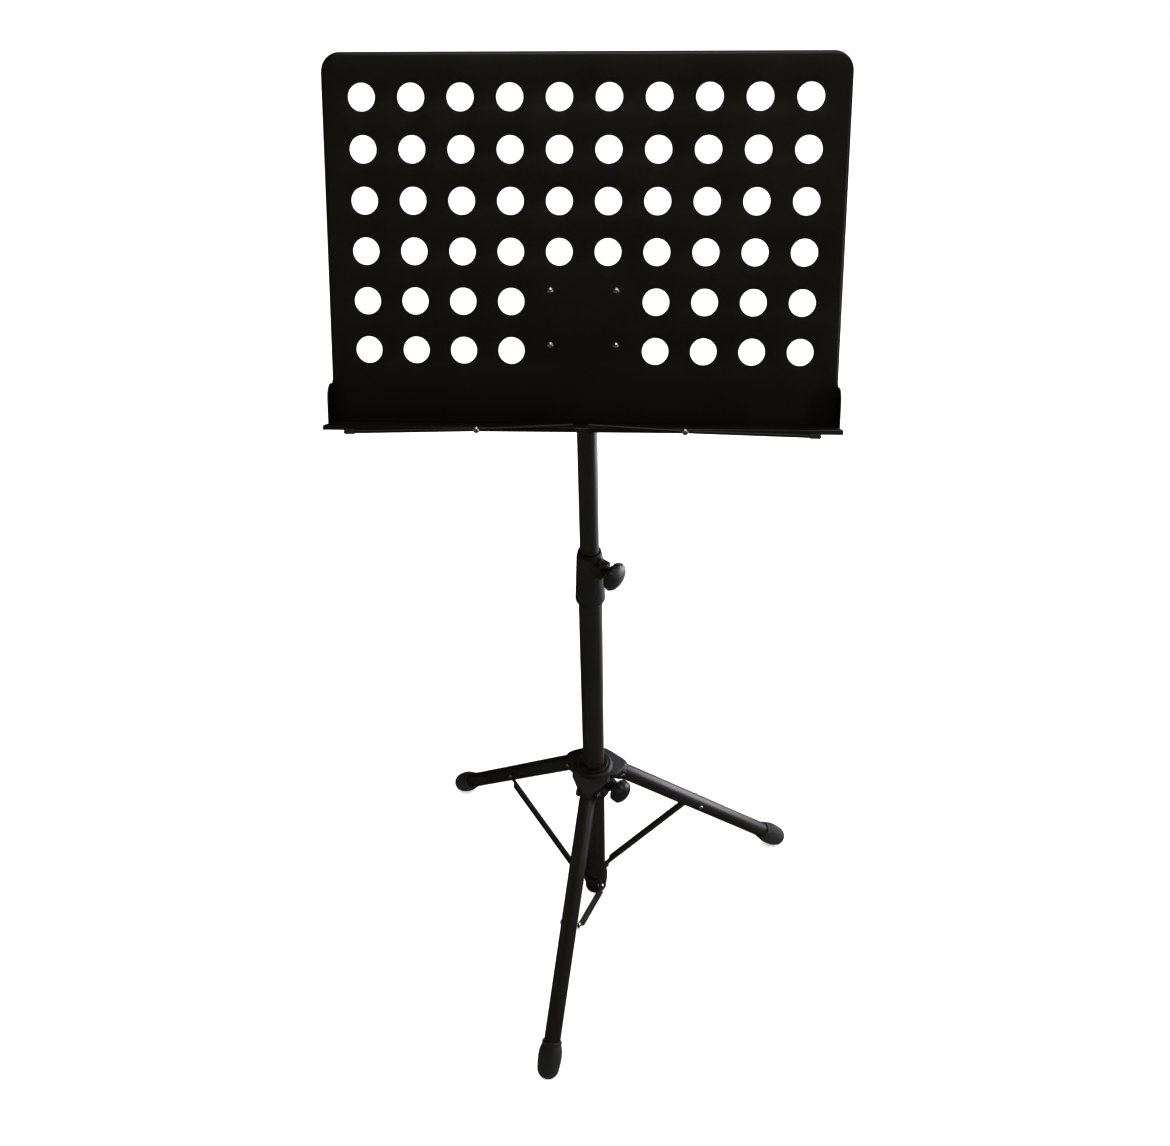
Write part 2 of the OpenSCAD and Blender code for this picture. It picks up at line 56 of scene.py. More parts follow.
# Desk, in its own frame: X across, Y behind the face, Z up the face from the lowest row of holes
HOLE_R = 12.5 * MM
HOLE_PITCH = 46 * MM
HOLE_COLUMNS, HOLE_ROWS, BARE_ROWS = 10, 6, 2
HALF_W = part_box("desk_panel")[1].x
BEND_V = -69.5 * MM
TOP_V = 270 * MM
WING_TOP = -32 * MM
WING_DEPTH = 21 * MM
CORNER_R = 18 * MM
ROLL_R = 4 * MM
RIM_DEPTH = 8 * MM
SHEET = 1.2 * MM
SHELF_DEPTH = 41 * MM
LIP_H = 4.8 * MM

# Page arms, from the pivot screw: X across, Y behind the face, Z up the face
ARM_PIVOT_X = 98 * MM
ARM_PIVOT_V = -72.1 * MM
ARM_Y = -43.5 * MM
ARM_TIP = (-124 * MM, -3.3 * MM)
ARM_TAIL = (92 * MM, 5 * MM)
WIRE_R = 1.75 * MM
WIRE_START = 2 * MM
PRESSED_L = 9 * MM
EYE_R, EYE_BORE, EYE_HALF = 3.2 * MM, 1.56 * MM, 2.1 * MM
CAP_R, CAP_L = 2.6 * MM, 8 * MM

# Tubes and their bushes
MAST_R, MAST_IN = 11.1 * MM, 10 * MM
COLUMN_R, COLUMN_IN = 14.3 * MM, 12.8 * MM
PLAY = 0.06 * MM
HUB_SLEEVE_R, COLLAR_SLEEVE_R = 16.54 * MM, 13.2 * MM
SLEEVE_FLANGE = 3 * MM

# Tripod
LEG_R, LEG_IN = 11.1 * MM, 9.9 * MM
LEG_FROM = 7 * MM
RIVET_AT = 172.5 * MM
FOOT_Z = 13.9 * MM
FOOT_R = 14.6 * MM
BOOT_AT = 36 * MM
BOOT_SHAPE = ((12.3, 0.4), (13.0, 0.9), (13.3, 2.0), (13.2, 5.0), (13.7, 7.0), (14.7, 10.5), (15.4, 14.0),
              (15.75, 18.5), (15.8, 22.0), (15.6, 26.5), (15.2, 31.0), (14.6, 36.0))
STRUT_Y = 12.1 * MM

MOULDING_FACES_KEPT = 0.5


# ---------------------------------------------------------------- placing
def axes(origin, x, y, z):
    """The matrix that takes a local frame with these axes to the row frame."""
    m = Matrix((x, y, z)).transposed().to_4x4()
    m.translation = origin
    return m


def desk_matrix():
    front = Vector(mounts["desk_face"]["axis"]).normalized()
    across = Vector((1, 0, 0))
    up = across.cross(-front)
    origin = Vector(mounts["desk_face"]["pos_m"]) - 30 * MM * up
    return axes(origin, across, -front, up)


def leg_matrix(leg):
    """X down the leg from its pivot, Y along the pivot bolt, Z square to both."""
    joint = joints[f"leg_{leg}_fold"]
    pivot, side = Vector(joint["pos_m"]), Vector(joint["axis"]).normalized()
    foot = Vector(mounts[f"foot_{leg}_sole"]["pos_m"]) + FOOT_Z * UP
    along = (foot - pivot).normalized()
    return axes(pivot, along, side, along.cross(side))


def leg_length(leg):
    foot = Vector(mounts[f"foot_{leg}_sole"]["pos_m"]) + FOOT_Z * UP
    return (foot - Vector(joints[f"leg_{leg}_fold"]["pos_m"])).length


def strut_matrix(leg):
    """X along the strut from its inner rivet to its outer one, Y away from the leg."""
    joint = joints[f"strut_{leg}_fold"]
    pin, side = Vector(joint["pos_m"]), -Vector(joint["axis"]).normalized()
    end = leg_matrix(leg) @ Vector((RIVET_AT, 0, 0))
    along = (end - pin).normalized()
    return axes(pin, along, side, along.cross(side)), (end - pin).length


def knob_matrix(joint):
    """Z out along the knob's axis, from the column's axis."""
    out = Vector(joints[joint]["axis"]).normalized()
    side = out.cross(UP).normalized()
    centre = Vector((0, 0, joints[joint]["pos_m"][2]))
    return axes(centre, side, out.cross(side), out)


DESK = desk_matrix()


# ---------------------------------------------------------------- materials
def new_material(name):
    material = bpy.data.materials.new(name)
    material.use_nodes = True
    nodes, links = material.node_tree.nodes, material.node_tree.links
    nodes.clear()
    output = nodes.new("ShaderNodeOutputMaterial")
    shader = nodes.new("ShaderNodeBsdfPrincipled")
    links.new(shader.outputs["BSDF"], output.inputs["Surface"])
    place = nodes.new("ShaderNodeTexCoord").outputs["Object"]
    return material, nodes, links, shader, place


def noise(nodes, links, place, scale, detail=3.0, rough=0.5):
    node = nodes.new("ShaderNodeTexNoise")
    node.inputs["Scale"].default_value = scale
    node.inputs["Detail"].default_value = detail
    node.inputs["Roughness"].default_value = rough
    links.new(place, node.inputs["Vector"])
    return node.outputs["Fac"]


def ramp(nodes, links, value, low, high, low_colour, high_colour):
    node = nodes.new("ShaderNodeValToRGB")
    node.color_ramp.elements[0].position = low
    node.color_ramp.elements[1].position = high
    node.color_ramp.elements[0].color = (*low_colour, 1)
    node.color_ramp.elements[1].color = (*high_colour, 1)
    links.new(value, node.inputs["Fac"])
    return node.outputs["Color"]


def grey(value):
    return (value, value, value)


def bump(nodes, links, height, strength, distance, under=None):
    node = nodes.new("ShaderNodeBump")
    node.inputs["Strength"].default_value = strength
    node.inputs["Distance"].default_value = distance
    links.new(height, node.inputs["Height"])
    if under is not None:
        links.new(under, node.inputs["Normal"])
    return node.outputs["Normal"]


def powder_coat(name, dark, light, rough, peel, specular):
    """Black powder coat: orange peel in two sizes, cloudy gloss and a little dust."""
    material, nodes, links, shader, place = new_material(name)
    clouds = noise(nodes, links, place, 14, 4)
    fine = noise(nodes, links, place, 900, 2)
    coarse = noise(nodes, links, place, 260, 3)
    links.new(ramp(nodes, links, clouds, 0.3, 0.75, dark, light), shader.inputs["Base Color"])
    gloss = ramp(nodes, links, clouds, 0.25, 0.8, grey(rough - 0.05), grey(rough + 0.07))
    links.new(gloss, shader.inputs["Roughness"])
    peel_normal = bump(nodes, links, coarse, peel, 0.00012)
    links.new(bump(nodes, links, fine, peel * 0.8, 0.00003, peel_normal), shader.inputs["Normal"])
    shader.inputs["Specular IOR Level"].default_value = specular
    return material


def moulded(name, dark, light, rough, grain, specular):
    """Moulded plastic: spark-eroded grain and soft scuffs."""
    material, nodes, links, shader, place = new_material(name)
    scuffs = noise(nodes, links, place, 45, 6, 0.65)
    eroded = noise(nodes, links, place, 1500, 2)
    links.new(ramp(nodes, links, scuffs, 0.35, 0.8, dark, light), shader.inputs["Base Color"])
    gloss = ramp(nodes, links, scuffs, 0.3, 0.75, grey(rough), grey(rough + 0.12))
    links.new(gloss, shader.inputs["Roughness"])
    links.new(bump(nodes, links, eroded, grain, 0.00004), shader.inputs["Normal"])
    shader.inputs["Specular IOR Level"].default_value = specular
    return material


def rubber(name):
    """Matte rubber with floor dust on its lowest part."""
    material, nodes, links, shader, place = new_material(name)
    split = nodes.new("ShaderNodeSeparateXYZ")
    links.new(place, split.inputs["Vector"])
    height = nodes.new("ShaderNodeMapRange")
    height.inputs["From Min"].default_value = 0.0
    height.inputs["From Max"].default_value = 0.014
    height.inputs["To Min"].default_value = 0.75
    height.inputs["To Max"].default_value = 0.0
    links.new(split.outputs["Z"], height.inputs["Value"])
    patches = nodes.new("ShaderNodeMath")
    patches.operation = "MULTIPLY"
    links.new(height.outputs["Result"], patches.inputs[0])
    links.new(noise(nodes, links, place, 180, 5, 0.7), patches.inputs[1])
    dusty = ramp(nodes, links, patches.outputs["Value"], 0.1, 0.6,
                 (0.012, 0.012, 0.0115), (0.09, 0.085, 0.075))
    links.new(dusty, shader.inputs["Base Color"])
    shader.inputs["Roughness"].default_value = 0.72
    shader.inputs["Specular IOR Level"].default_value = 0.35
    links.new(bump(nodes, links, noise(nodes, links, place, 1100, 2), 0.5, 0.00005), shader.inputs["Normal"])
    return material


def zinc(name):
    """Bright zinc plate with fine handling scratches."""
    material, nodes, links, shader, place = new_material(name)
    spangle = noise(nodes, links, place, 500, 4)
    tint = ramp(nodes, links, spangle, 0.3, 0.7, (0.5, 0.49, 0.46), (0.72, 0.71, 0.69))
    links.new(tint, shader.inputs["Base Color"])
    links.new(ramp(nodes, links, spangle, 0.3, 0.7, grey(0.22), grey(0.38)), shader.inputs["Roughness"])
    shader.inputs["Metallic"].default_value = 1.0
    links.new(bump(nodes, links, noise(nodes, links, place, 2500, 2), 0.25, 0.00002), shader.inputs["Normal"])
    return material


MATERIALS = {
    "desk_paint": powder_coat("desk_paint", (0.0045, 0.0042, 0.0036), (0.0065, 0.006, 0.0052),
                              rough=0.36, peel=0.3, specular=0.25),
    "tube_paint": powder_coat("tube_paint", (0.009, 0.007, 0.005), (0.013, 0.0105, 0.0075),
                              rough=0.42, peel=0.35, specular=0.42),
    "moulded_plastic": moulded("moulded_plastic", (0.007, 0.0066, 0.0055), (0.0115, 0.011, 0.0095),
                               rough=0.45, grain=0.5, specular=0.4),
    "knob_plastic": moulded("knob_plastic", (0.007, 0.0068, 0.0068), (0.012, 0.0118, 0.0118),
                            rough=0.36, grain=0.3, specular=0.45),
    "nylon": moulded("nylon", (0.004, 0.004, 0.004), (0.007, 0.007, 0.007),
                     rough=0.5, grain=0.25, specular=0.4),
    "black_rubber": rubber("black_rubber"),
    "zinc_steel": zinc("zinc_steel"),
}


def finish_piece(obj, body, slot, *nodes):
    """Gives a piece its material, its body and the CAD nodes that it stands for."""
    obj.data.materials.clear()
    obj.data.materials.append(MATERIALS[slot])
    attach(obj, body)
    if nodes:
        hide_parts(*nodes)
    return obj


# ---------------------------------------------------------------- shapes
def to_object(name, bm, matrix=None, sharp_deg=40):
    bmesh.ops.recalc_face_normals(bm, faces=bm.faces)
    mesh = bpy.data.meshes.new(name)
    bm.to_mesh(mesh)
    bm.free()
    if matrix is not None:
        mesh.transform(matrix)
    mesh.set_sharp_from_angle(angle=math.radians(sharp_deg))
    obj = bpy.data.objects.new(name, mesh)
    bpy.context.scene.collection.objects.link(obj)
    return obj


def rounded_box_points(x0, x1, y0, y1, radii, steps=8):
    """A rectangle's outline, counter-clockwise from its lower left corner, with a radius for each corner."""
    corners = [(x0, y0, 180), (x1, y0, 270), (x1, y1, 0), (x0, y1, 90)]
    points = []
    for (x, y, start), r in zip(corners, radii):
        if r == 0:
            points.append((x, y))
            continue
        cx = x + r if x == x0 else x - r
        cy = y + r if y == y0 else y - r
        for i in range(steps + 1):
            a = math.radians(start + 90 * i / steps)
            points.append((cx + r * math.cos(a), cy + r * math.sin(a)))
    return points


def smooth_step(t):
    t = max(0.0, min(1.0, t))
    return t * t * (3 - 2 * t)


def circle_points(x, y, r, count=64):
    return [(x + r * math.cos(TAU * i / count), y + r * math.sin(TAU * i / count)) for i in range(count)]


def outward(points, i):
    """The outline's outward direction at a point, scaled so that offset edges stay parallel."""
    before, here, after = Vector(points[i - 1]), Vector(points[i]), Vector(points[(i + 1) % len(points)])
    a, b = (here - before), (after - here)
    a = a.normalized() if a.length > 1e-9 else b.normalized()
    b = b.normalized() if b.length > 1e-9 else a
    na, nb = Vector((a.y, -a.x)), Vector((b.y, -b.x))
    n = na + nb
    n = n * (2 / n.length_squared) if n.length_squared > 1e-9 else na
    return n


def edge_section(thickness, fillet, steps=3):
    """Points (inset, depth) from the front face round a plate's edge to its back face."""
    angles = [math.pi / 2 * i / steps for i in range(steps + 1)]
    front = [(fillet * (1 - math.sin(a)), fillet * (1 - math.cos(a))) for a in angles]
    back = [(inset, thickness - depth) for inset, depth in reversed(front)]
    return front + back


def add_plate(bm, outline, thickness, fillet=0.3 * MM, holes=(), sections=None):
    """A plate with filleted edges: its outline is in X and Z, its front at Y = 0, its back at +thickness."""
    plain = edge_section(thickness, fillet)
    front_edges, back_edges = [], []

    def loft(points, section_of, inside):
        rings = []
        for i, p in enumerate(points):
            n = outward(points, i)
            ring = []
            for inset, depth in section_of(i):
                shift = inset if inside else -inset
                q = Vector(p) + n * shift
                ring.append(bm.verts.new((q.x, depth, q.y)))
            rings.append(ring)
        for i, ring in enumerate(rings):
            following = rings[(i + 1) % len(rings)]
            for k in range(len(ring) - 1):
                face = bm.faces.new((ring[k], following[k], following[k + 1], ring[k + 1]))
                face.smooth = True
        for edges, k in ((front_edges, 0), (back_edges, -1)):
            for i, ring in enumerate(rings):
                edges.append(bm.edges.get((ring[k], rings[(i + 1) % len(rings)][k])))

    loft(outline, sections or (lambda i: plain), False)
    for hole in holes:
        loft(hole, lambda i: plain, True)
    for edges in (front_edges, back_edges):
        bmesh.ops.triangle_fill(bm, edges=edges, use_beauty=True)
    return bm


def plate(name, outline, thickness, matrix, **more):
    bm = bmesh.new()
    add_plate(bm, outline, thickness, **more)
    return to_object(name, bm, matrix)


def arc(cx, cy, r, start, end, steps=6):
    """Points of an arc, in degrees from start to end."""
    angles = [math.radians(start + (end - start) * i / steps) for i in range(steps + 1)]
    return [(cx + r * math.cos(a), cy + r * math.sin(a)) for a in angles]


def add_lathe(bm, profile, segments=64, matrix=None, wave=None):
    """Turns a profile of (radius, height) points round Z. wave(angle, radius, height) may change the radius."""
    rings = []
    for r, z in profile:
        if r < 1e-7:
            rings.append([bm.verts.new((0, 0, z))])
            continue
        ring = []
        for i in range(segments):
            a = TAU * i / segments
            rr = wave(a, r, z) if wave else r
            ring.append(bm.verts.new((rr * math.cos(a), rr * math.sin(a), z)))
        rings.append(ring)
    made = [v for ring in rings for v in ring]
    for low, high in zip(rings, rings[1:]):
        if len(low) == len(high) == 1:
            continue
        for i in range(segments):
            j = (i + 1) % segments
            corners = [low[0]] if len(low) == 1 else [low[i], low[j]]
            corners += [high[0]] if len(high) == 1 else [high[j], high[i]]
            bm.faces.new(corners).smooth = True
    if matrix is not None:
        bmesh.ops.transform(bm, matrix=matrix, verts=made)
    return bm


def lathe(name, profile, matrix=None, segments=64, wave=None, sharp_deg=40):
    bm = bmesh.new()
    add_lathe(bm, profile, segments, None, wave)
    return to_object(name, bm, matrix, sharp_deg)


def tube_profile(outer, inner, low, high, lip=0.5 * MM):
    """A tube with rounded ends, as a closed ring of (radius, height) points."""
    points = arc(outer - lip, low + lip, lip, -90, 0, 3) + arc(outer - lip, high - lip, lip, 0, 90, 3)
    points += arc(inner + lip, high - lip, lip, 90, 180, 3) + arc(inner + lip, low + lip, lip, 180, 270, 3)
    return points + points[:1]


def softened(name, node, voxel, passes):
    """A copy of a CAD solid with its edges rounded as a moulding's are."""
    source = frame["nodes"][node]
    bm = bmesh.new()
    bm.from_mesh(source.data)
    bmesh.ops.remove_doubles(bm, verts=bm.verts, dist=1e-6)
    obj = to_object(name, bm)
    remesh = obj.modifiers.new("voxels", "REMESH")
    remesh.mode = "VOXEL"
    remesh.voxel_size = voxel
    remesh.use_smooth_shade = True
    smooth = obj.modifiers.new("smooth", "SMOOTH")
    smooth.factor = 0.5
    smooth.iterations = passes
    decimate = obj.modifiers.new("fewer", "DECIMATE")
    decimate.ratio = MOULDING_FACES_KEPT
    depsgraph = bpy.context.evaluated_depsgraph_get()
    mesh = bpy.data.meshes.new_from_object(obj.evaluated_get(depsgraph))
    obj.modifiers.clear()
    obj.data = mesh
    for polygon in mesh.polygons:
        polygon.use_smooth = True
    return obj


# ---------------------------------------------------------------- desk
def desk_outline():
    """The face's outline and, for each point, the section of its edge: rolled above the wings, plain below."""
    quarter = [math.pi / 2 * i / 6 for i in range(7)]
    roll = [(-ROLL_R * math.sin(a), ROLL_R * (1 - math.cos(a))) for a in quarter]
    inner_r = ROLL_R - SHEET
    inner = [(-inner_r * math.sin(a), ROLL_R - inner_r * math.cos(a)) for a in reversed(quarter)]
    half = SHEET / 2
    turn = [(half - ROLL_R - half * math.cos(2 * a), RIM_DEPTH - half + half * math.sin(2 * a))
            for a in quarter]
    rolled = roll + turn + inner
    short = edge_section(SHEET, 0.4 * MM)
    plain = short[:4] + [short[3]] * (len(rolled) - len(short)) + short[4:]
    edge_x = HALF_W - ROLL_R
    r = CORNER_R - ROLL_R
    top = TOP_V - ROLL_R
    points = [(-HALF_W, BEND_V), (HALF_W, BEND_V), (HALF_W, WING_TOP)]
    sections = [plain] * 3
    upper = [(edge_x, WING_TOP)]
    upper += [(edge_x, WING_TOP + (top - r - WING_TOP) * k / 8) for k in range(1, 8)]
    upper += arc(edge_x - r, top - r, r, 0, 90, 10)
    upper += arc(-edge_x + r, top - r, r, 90, 180, 10)
    upper += [(-edge_x, top - r - (top - r - WING_TOP) * k / 8) for k in range(1, 8)]
    upper += [(-edge_x, WING_TOP)]
    points += upper
    sections += [rolled] * len(upper)
    points.append((-HALF_W, WING_TOP))
    sections.append(plain)
    return points, sections


def desk_sheet():
    points, sections = desk_outline()
    holes = []
    for row in range(HOLE_ROWS):
        for column in range(HOLE_COLUMNS):
            x = (column - (HOLE_COLUMNS - 1) / 2) * HOLE_PITCH
            if row >= BARE_ROWS or abs(x) > HOLE_PITCH:
                holes.append(circle_points(x, row * HOLE_PITCH, HOLE_R, 56))
    return plate("desk_sheet", points, SHEET, DESK, fillet=0.35 * MM, holes=holes,
                 sections=lambda i: sections[i])


def bend(points, half, steps=5):
    """A bent strip's outline: its middle line has (Y, Z, bend radius) points and it is 2 * half thick."""
    line = []
    for i, (y, z, r) in enumerate(points):
        here = Vector((y, z))
        if r == 0:
            line.append(here)
            continue
        a = (Vector(points[i - 1][:2]) - here).normalized()
        b = (Vector(points[i + 1][:2]) - here).normalized()
        turn = a.angle(b)
        centre = here + (a + b).normalized() * (r / math.sin(turn / 2))
        first, last = here + a * (r / math.tan(turn / 2)), here + b * (r / math.tan(turn / 2))
        for k in range(steps + 1):
            chord = first.lerp(last, k / steps) - centre
            line.append(centre + chord.normalized() * r)
    sides = []
    for i, p in enumerate(line):
        before, after = line[max(i - 1, 0)], line[min(i + 1, len(line) - 1)]
        d = (after - before).normalized()
        sides.append((p, Vector((-d.y, d.x))))
    return [p + n * half for p, n in sides] + [p - n * half for p, n in reversed(sides)]


def bridge(bm, rings):
    """Joins rings of equal length with side faces and closes both ends."""
    for low, high in zip(rings, rings[1:]):
        for i in range(len(low)):
            j = (i + 1) % len(low)
            bm.faces.new((low[i], low[j], high[j], high[i])).smooth = True
    bm.faces.new(rings[0])
    bm.faces.new(rings[-1])


def add_prism(bm, outline, x0, x1, fillet=0.3 * MM):
    """Carries a closed outline in Y and Z from x0 to x1, with its ends slightly rounded."""
    rings = []
    centre = [Vector(p) for p in outline]
    for x, inset in ((x0, fillet), (x0 + fillet * 0.3, fillet * 0.3), (x0 + fillet, 0),
                     (x1 - fillet, 0), (x1 - fillet * 0.3, fillet * 0.3), (x1, fillet)):
        ring = []
        for i, p in enumerate(centre):
            n = outward(outline, i)
            q = p - n * inset
            ring.append(bm.verts.new((x, q.x, q.y)))
        rings.append(ring)
    bridge(bm, rings)


def shelf():
    """Shelf with its lip and rear flange, and the two upright end plates."""
    bm = bmesh.new()
    half = SHEET / 2
    middle = BEND_V - half
    lip_y = -SHELF_DEPTH + half
    tray = bend([(lip_y, BEND_V - LIP_H + 0.2 * MM, 0), (lip_y, middle, 1.1 * MM), (SHEET, middle, 0)],
                half)
    add_prism(bm, [tuple(p) for p in reversed(tray)], -HALF_W, HALF_W)
    flange = bend([(-4 * MM, middle, 0), (1.5 * SHEET, middle, 1.4 * MM), (1.5 * SHEET, BEND_V + 22.8 * MM, 0)],
                  half - 0.02 * MM)
    flange_w = HALF_W - 9 * MM
    add_prism(bm, [tuple(p) for p in reversed(flange)], -flange_w, flange_w)
    wing = rounded_box_points(-WING_DEPTH, -0.1 * MM, BEND_V - SHEET / 2, WING_TOP,
                              (0, 0, 1.5 * MM, 14 * MM), 12)
    for side in (-1, 1):
        at = HALF_W - SHEET if side > 0 else -HALF_W
        upright = bmesh.new()
        add_plate(upright, wing, SHEET, 0.35 * MM)
        turn = Matrix(((0, 1, 0, at), (1, 0, 0, 0), (0, 0, 1, 0), (0, 0, 0, 1)))
        bmesh.ops.transform(upright, matrix=turn, verts=upright.verts)
        mesh = bpy.data.meshes.new("wing")
        upright.to_mesh(mesh)
        bm.from_mesh(mesh)
        upright.free()
    return to_object("shelf", bm, DESK)


# ---------------------------------------------------------------- page arms
def toward(end):
    """The matrix that turns Z from the pivot toward a wire's end."""
    direction = Vector((end[0], 0, end[1])).normalized()
    up = Vector((-direction.z, 0, direction.x))
    return axes(Vector((0, 0, 0)), up, direction.cross(up), direction)


def wire(bm, end):
    """Wire from the pivot's eye, where it is pressed flat, to a rounded end."""
    length = math.hypot(*end)
    plain_from = 12 * MM
    steps = 14
    profile = [(0, WIRE_START)] + [(WIRE_R, WIRE_START + 1.2 * MM * k) for k in range(9)]
    profile += [(WIRE_R, plain_from + (length - WIRE_R - plain_from) * k / steps) for k in range(steps + 1)]
    profile += arc(0, length - WIRE_R, WIRE_R, 15, 90, 5)[:-1] + [(0, length)]

    def pressed(a, r, z):
        flat = smooth_step(1 - (z - WIRE_START) / PRESSED_L)
        return r * (1 - 0.16 * flat * math.cos(a) ** 2 + 0.14 * flat * math.sin(a) ** 2)

    add_lathe(bm, profile, 24, toward(end), pressed)


def page_arm(mirrored):
    side = "right" if mirrored else "left"
    pivot = Matrix.Translation((-ARM_PIVOT_X, ARM_Y, ARM_PIVOT_V))
    place = DESK @ Matrix.Scale(-1 if mirrored else 1, 4, (1, 0, 0)) @ pivot
    bm = bmesh.new()
    wire(bm, ARM_TIP)
    wire(bm, ARM_TAIL)
    eye = tube_profile(EYE_R, EYE_BORE, -EYE_HALF, EYE_HALF, 0.5 * MM)
    add_lathe(bm, eye, 40, Matrix.Rotation(-math.pi / 2, 4, "X"))
    finish_piece(to_object(f"arm_wire_{side}", bm, place), f"arm_{side}", "desk_paint", f"page_arm_{side}")
    length = math.hypot(*ARM_TIP)
    start = length - CAP_L
    lip, slim_r = 0.4 * MM, CAP_R - 0.2 * MM
    cap = [(WIRE_R - 0.1 * MM, start + 0.5 * MM), (WIRE_R, start)]
    cap += arc(CAP_R - lip, start + lip, lip, -90, 0, 3)
    cap += [(CAP_R, start + 1.4 * MM), (slim_r, start + 1.8 * MM), (slim_r, length)]
    cap += arc(0, length, slim_r, 15, 75, 5) + [(0, length + slim_r)]
    tip = lathe(f"arm_tip_{side}", cap, place @ toward(ARM_TIP), 32)
    finish_piece(tip, f"arm_{side}", "black_rubber", f"arm_cap_{side}")


# ---------------------------------------------------------------- tubes, knobs and mouldings
def smooth_line(points, steps=4):
    """A smooth profile through the given points."""
    line = []
    for i in range(len(points) - 1):
        p0, p1 = Vector(points[max(i - 1, 0)]), Vector(points[i])
        p2, p3 = Vector(points[i + 1]), Vector(points[min(i + 2, len(points) - 1)])
        for k in range(steps):
            t = k / steps
            q = 0.5 * (2 * p1 + (p2 - p0) * t + (2 * p0 - 5 * p1 + 4 * p2 - p3) * t * t
                       + (3 * p1 - p0 - 3 * p2 + p3) * t ** 3)
            line.append((q.x, q.y))
    return line + [tuple(points[-1])]


def knob(kind, start, height, grip_r, stem_r, bore_r, rim, crown):
    """Mushroom knob with a domed top and a scalloped grip that starts at the height of its rim."""
    under, shoulder = start + rim, start + height - crown
    foot_r, flare_h, dome_steps = 0.6 * MM, 2.6 * MM, 16
    scallops, scallop_depth = 12, 0.75 * MM
    profile = [(bore_r, start + 0.1 * MM)] + arc(stem_r - foot_r, start + foot_r, foot_r, -90, 0, 3)
    flare = [(stem_r, start + rim * 0.35), (stem_r + 0.5 * MM, start + rim * 0.55),
             (stem_r + 2.2 * MM, start + rim * 0.84), (grip_r - 2.4 * MM, under),
             (grip_r - 0.6 * MM, under + 0.8 * MM), (grip_r, under + flare_h)]
    profile += smooth_line(flare, 4)
    ball = (grip_r ** 2 + crown ** 2) / (2 * crown)
    edge = math.asin(grip_r / ball)
    wall = shoulder - under - flare_h - 1.2 * MM
    profile += [(grip_r, under + flare_h + wall * k / 4) for k in range(1, 5)]
    for k in range(1, dome_steps + 1):
        angle = edge * (1 - k / dome_steps)
        blend = min(1.0, k / 5)
        r, z = ball * math.sin(angle), start + height - ball * (1 - math.cos(angle))
        profile.append((r - 0.5 * MM * (1 - blend) ** 2 if r > 0 else 0, z - 0.3 * MM * (1 - blend)))

    def scalloped(a, r, z):
        outer = max(0.0, min(1.0, (r / grip_r - 0.72) / 0.24))
        valley = (0.5 + 0.5 * math.cos(scallops * a)) ** 3
        return r - scallop_depth * outer * valley

    grip = lathe(f"{kind}_grip", profile, knob_matrix(f"{kind}_knob_turn"), 144, scalloped, 50)
    finish_piece(grip, f"{kind}_knob", "knob_plastic", f"{kind}_knob")


def sleeve(name, node, body, sleeve_r, bore):
    """Bush with a rounded flange on its upper end."""
    low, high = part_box(node)
    flange_low, flange_r = high.z - SLEEVE_FLANGE, high.x
    profile = arc(sleeve_r - 0.4 * MM, low.z + 0.4 * MM, 0.4 * MM, -90, 0, 3)
    profile += [(sleeve_r, flange_low), (flange_r - 0.3 * MM, flange_low)]
    profile += arc(flange_r - 0.3 * MM, flange_low + 0.3 * MM, 0.3 * MM, -90, 0, 3)
    profile += arc(flange_r - 1.2 * MM, high.z - 1.2 * MM, 1.2 * MM, 0, 90, 5)
    profile += arc(bore + 0.6 * MM, high.z - 0.6 * MM, 0.6 * MM, 90, 180, 4)
    profile += arc(bore + 0.4 * MM, low.z + 0.4 * MM, 0.4 * MM, 180, 270, 3)
    profile.append(profile[0])
    finish_piece(lathe(name, profile, None, 72), body, "nylon", node)


def round_pieces():
    for name, node, body, outer, inner in (
            ("mast_tube", "upper_tube", "mast", MAST_R, MAST_IN),
            ("column_tube", "lower_tube", "column", COLUMN_R, COLUMN_IN)):
        low, high = (v.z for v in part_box(node))
        finish_piece(lathe(name, tube_profile(outer, inner, low, high), None, 72), body, "tube_paint", node)
    sleeve("hub_sleeve", "hub_bush", "hub", HUB_SLEEVE_R, COLUMN_R + PLAY)
    sleeve("collar_sleeve", "collar_bush", "column", COLLAR_SLEEVE_R, MAST_R + PLAY)
    washer = tube_profile(9 * MM, 4 * MM, 0, 1.5 * MM, 0.4 * MM)
    bm = bmesh.new()
    for at in (16.6 * MM, -18.1 * MM):
        add_lathe(bm, washer, 48, Matrix.Translation((0, 0, at)))
    washers = to_object("bracket_washers", bm, knob_matrix("tilt_knob_turn"))
    finish_piece(washers, "mast", "nylon", "tilt_washers")


def moulded_pieces():
    for name, node, body, slot, voxel, passes in (
            ("hub_moulding", "leg_hub", "hub", "moulded_plastic", 0.75 * MM, 5),
            ("collar_moulding", "clamp_collar", "column", "moulded_plastic", 0.6 * MM, 5),
            ("head_moulding", "tilt_head", "mast", "moulded_plastic", 0.6 * MM, 5),
            ("column_foot", "base_cap", "column", "nylon", 0.5 * MM, 3),
            ("strut_ring", "base_collar", "column", "tube_paint", 0.5 * MM, 2),
            ("desk_bracket", "tilt_bracket", "desk", "desk_paint", 0.6 * MM, 2)):
        finish_piece(softened(name, node, voxel, passes), body, slot, node)


# ---------------------------------------------------------------- legs
def down_leg(name):
    """The matrix that turns Z down the leg from its pivot."""
    return leg_matrix(name) @ Matrix(((0, 0, 1, 0), (0, 1, 0, 0), (-1, 0, 0, 0), (0, 0, 0, 1)))


